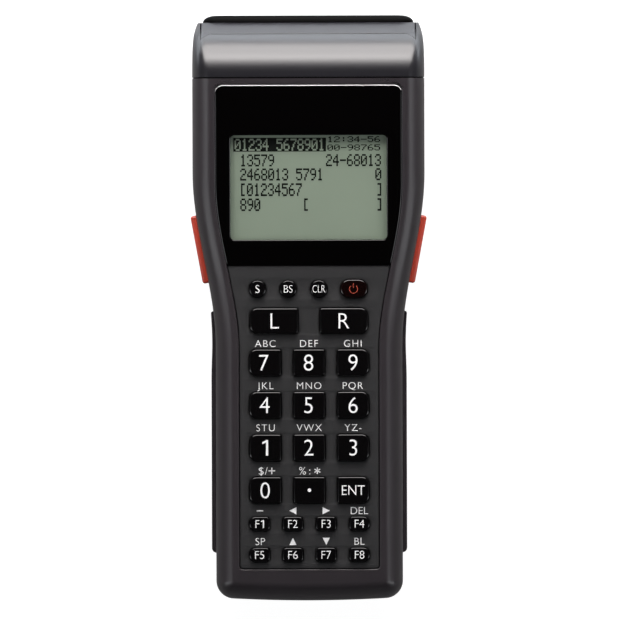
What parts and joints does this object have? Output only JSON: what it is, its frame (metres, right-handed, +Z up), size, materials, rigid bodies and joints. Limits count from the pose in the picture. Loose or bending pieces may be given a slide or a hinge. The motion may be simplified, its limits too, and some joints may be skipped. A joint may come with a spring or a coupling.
{
  "type": "portable barcode data terminal",
  "caption": "Hand-held data terminal with a wide scanning head, display, keypad, side triggers and a hinged battery cover on the back of its grip.",
  "frame": {"origin": "bottom centre of the terminal as it lies on its back, keys up", "axes": "+X to the right as the keypad is read, +Y along the body towards the scan window, +Z up out of the keypad"},
  "size_m": [0.0686, 0.17, 0.0372],
  "materials": {
    "shell": "fine-textured charcoal moulded plastic",
    "gloss_black": "glossy black",
    "panel": "textured dark grey film over plastic",
    "key": "glossy black key cap with white print",
    "power_key": "glossy dark red key cap",
    "trigger": "orange moulded plastic",
    "lcd": "grey-green reflective liquid crystal panel",
    "light_guide": "white diffusing plastic",
    "scan_glass": "dark red filter",
    "rubber": "soft moulded rubber",
    "board": "green solder mask on glass fibre",
    "chip": "black moulded component",
    "steel": "bright steel",
    "contact": "plated spring brass",
    "cell": "sleeved dry cell, plain grey",
    "dome": "clear film with metal domes"
  },
  "bodies": {
    "case": {"front_case": "shell", "rear_case": "shell", "head_cap": "shell", "scan_bezel": "rubber", "scan_window": "scan_glass", "scan_engine": "chip", "scan_bracket": "steel", "display_window": "gloss_black", "lcd_panel": "lcd", "lcd_frame": "light_guide", "keypad_panel": "panel", "keypad_mat": "rubber", "dome_sheet": "dome", "main_board": "board", "board_parts": "chip", "buzzer": "chip", "backup_cell": "steel", "trigger_switches": "chip", "battery_tray": "shell", "battery_left": "cell", "battery_right": "cell", "battery_contacts": "contact", "cover_hinge_pin": "steel", "case_screws": "steel", "ir_window": "scan_glass", "charge_contacts": "contact"},
    "key_0": {"key_0": "key"},
    "key_1": {"key_1": "key"},
    "key_2": {"key_2": "key"},
    "key_3": {"key_3": "key"},
    "key_4": {"key_4": "key"},
    "key_5": {"key_5": "key"},
    "key_6": {"key_6": "key"},
    "key_7": {"key_7": "key"},
    "key_8": {"key_8": "key"},
    "key_9": {"key_9": "key"},
    "key_point": {"key_point": "key"},
    "key_enter": {"key_enter": "key"},
    "key_scan_left": {"key_scan_left": "key"},
    "key_scan_right": {"key_scan_right": "key"},
    "key_s": {"key_s": "key"},
    "key_bs": {"key_bs": "key"},
    "key_clr": {"key_clr": "key"},
    "key_power": {"key_power": "power_key"},
    "key_f1": {"key_f1": "key"},
    "key_f2": {"key_f2": "key"},
    "key_f3": {"key_f3": "key"},
    "key_f4": {"key_f4": "key"},
    "key_f5": {"key_f5": "key"},
    "key_f6": {"key_f6": "key"},
    "key_f7": {"key_f7": "key"},
    "key_f8": {"key_f8": "key"},
    "trigger_left": {"trigger_left": "trigger"},
    "trigger_right": {"trigger_right": "trigger"},
    "battery_cover": {"battery_cover": "shell"},
    "cover_lock": {"cover_lock": "shell"}
  },
  "joints": [
    {"name": "key_0_press", "type": "slide", "parent": "case", "child": "key_0", "axis": [0, 0, -1], "range_m": [0, 0.0008], "stiffness_N_per_m": 1500, "springref_m": -0.0003},
    {"name": "key_1_press", "type": "slide", "parent": "case", "child": "key_1", "axis": [0, 0, -1], "range_m": [0, 0.0008], "stiffness_N_per_m": 1500, "springref_m": -0.0003},
    {"name": "key_2_press", "type": "slide", "parent": "case", "child": "key_2", "axis": [0, 0, -1], "range_m": [0, 0.0008], "stiffness_N_per_m": 1500, "springref_m": -0.0003},
    {"name": "key_3_press", "type": "slide", "parent": "case", "child": "key_3", "axis": [0, 0, -1], "range_m": [0, 0.0008], "stiffness_N_per_m": 1500, "springref_m": -0.0003},
    {"name": "key_4_press", "type": "slide", "parent": "case", "child": "key_4", "axis": [0, 0, -1], "range_m": [0, 0.0008], "stiffness_N_per_m": 1500, "springref_m": -0.0003},
    {"name": "key_5_press", "type": "slide", "parent": "case", "child": "key_5", "axis": [0, 0, -1], "range_m": [0, 0.0008], "stiffness_N_per_m": 1500, "springref_m": -0.0003},
    {"name": "key_6_press", "type": "slide", "parent": "case", "child": "key_6", "axis": [0, 0, -1], "range_m": [0, 0.0008], "stiffness_N_per_m": 1500, "springref_m": -0.0003},
    {"name": "key_7_press", "type": "slide", "parent": "case", "child": "key_7", "axis": [0, 0, -1], "range_m": [0, 0.0008], "stiffness_N_per_m": 1500, "springref_m": -0.0003},
    {"name": "key_8_press", "type": "slide", "parent": "case", "child": "key_8", "axis": [0, 0, -1], "range_m": [0, 0.0008], "stiffness_N_per_m": 1500, "springref_m": -0.0003},
    {"name": "key_9_press", "type": "slide", "parent": "case", "child": "key_9", "axis": [0, 0, -1], "range_m": [0, 0.0008], "stiffness_N_per_m": 1500, "springref_m": -0.0003},
    {"name": "key_point_press", "type": "slide", "parent": "case", "child": "key_point", "axis": [0, 0, -1], "range_m": [0, 0.0008], "stiffness_N_per_m": 1500, "springref_m": -0.0003},
    {"name": "key_enter_press", "type": "slide", "parent": "case", "child": "key_enter", "axis": [0, 0, -1], "range_m": [0, 0.0008], "stiffness_N_per_m": 1500, "springref_m": -0.0003},
    {"name": "key_scan_left_press", "type": "slide", "parent": "case", "child": "key_scan_left", "axis": [0, 0, -1], "range_m": [0, 0.0008], "stiffness_N_per_m": 1500, "springref_m": -0.0003},
    {"name": "key_scan_right_press", "type": "slide", "parent": "case", "child": "key_scan_right", "axis": [0, 0, -1], "range_m": [0, 0.0008], "stiffness_N_per_m": 1500, "springref_m": -0.0003},
    {"name": "key_s_press", "type": "slide", "parent": "case", "child": "key_s", "axis": [0, 0, -1], "range_m": [0, 0.0008], "stiffness_N_per_m": 1500, "springref_m": -0.0003},
    {"name": "key_bs_press", "type": "slide", "parent": "case", "child": "key_bs", "axis": [0, 0, -1], "range_m": [0, 0.0008], "stiffness_N_per_m": 1500, "springref_m": -0.0003},
    {"name": "key_clr_press", "type": "slide", "parent": "case", "child": "key_clr", "axis": [0, 0, -1], "range_m": [0, 0.0008], "stiffness_N_per_m": 1500, "springref_m": -0.0003},
    {"name": "key_power_press", "type": "slide", "parent": "case", "child": "key_power", "axis": [0, 0, -1], "range_m": [0, 0.0008], "stiffness_N_per_m": 1500, "springref_m": -0.0003},
    {"name": "key_f1_press", "type": "slide", "parent": "case", "child": "key_f1", "axis": [0, 0, -1], "range_m": [0, 0.0008], "stiffness_N_per_m": 1500, "springref_m": -0.0003},
    {"name": "key_f2_press", "type": "slide", "parent": "case", "child": "key_f2", "axis": [0, 0, -1], "range_m": [0, 0.0008], "stiffness_N_per_m": 1500, "springref_m": -0.0003},
    {"name": "key_f3_press", "type": "slide", "parent": "case", "child": "key_f3", "axis": [0, 0, -1], "range_m": [0, 0.0008], "stiffness_N_per_m": 1500, "springref_m": -0.0003},
    {"name": "key_f4_press", "type": "slide", "parent": "case", "child": "key_f4", "axis": [0, 0, -1], "range_m": [0, 0.0008], "stiffness_N_per_m": 1500, "springref_m": -0.0003},
    {"name": "key_f5_press", "type": "slide", "parent": "case", "child": "key_f5", "axis": [0, 0, -1], "range_m": [0, 0.0008], "stiffness_N_per_m": 1500, "springref_m": -0.0003},
    {"name": "key_f6_press", "type": "slide", "parent": "case", "child": "key_f6", "axis": [0, 0, -1], "range_m": [0, 0.0008], "stiffness_N_per_m": 1500, "springref_m": -0.0003},
    {"name": "key_f7_press", "type": "slide", "parent": "case", "child": "key_f7", "axis": [0, 0, -1], "range_m": [0, 0.0008], "stiffness_N_per_m": 1500, "springref_m": -0.0003},
    {"name": "key_f8_press", "type": "slide", "parent": "case", "child": "key_f8", "axis": [0, 0, -1], "range_m": [0, 0.0008], "stiffness_N_per_m": 1500, "springref_m": -0.0003},
    {"name": "trigger_right_press", "type": "slide", "parent": "case", "child": "trigger_right", "axis": [-0.9834, 0.1814, 0], "range_m": [0, 0.0008], "stiffness_N_per_m": 2500, "springref_m": -0.0003},
    {"name": "trigger_left_press", "type": "slide", "parent": "case", "child": "trigger_left", "axis": [0.9834, 0.1814, 0], "range_m": [0, 0.0008], "stiffness_N_per_m": 2500, "springref_m": -0.0003},
    {"name": "cover_swing", "type": "hinge", "parent": "case", "child": "battery_cover", "pos_m": [0, 0.0013, 0.00705], "axis": [1, 0, 0], "range_deg": [0, 60]},
    {"name": "lock_slide", "type": "slide", "parent": "battery_cover", "child": "cover_lock", "axis": [0, -1, 0], "range_m": [0, 0.0024]}
  ]
}
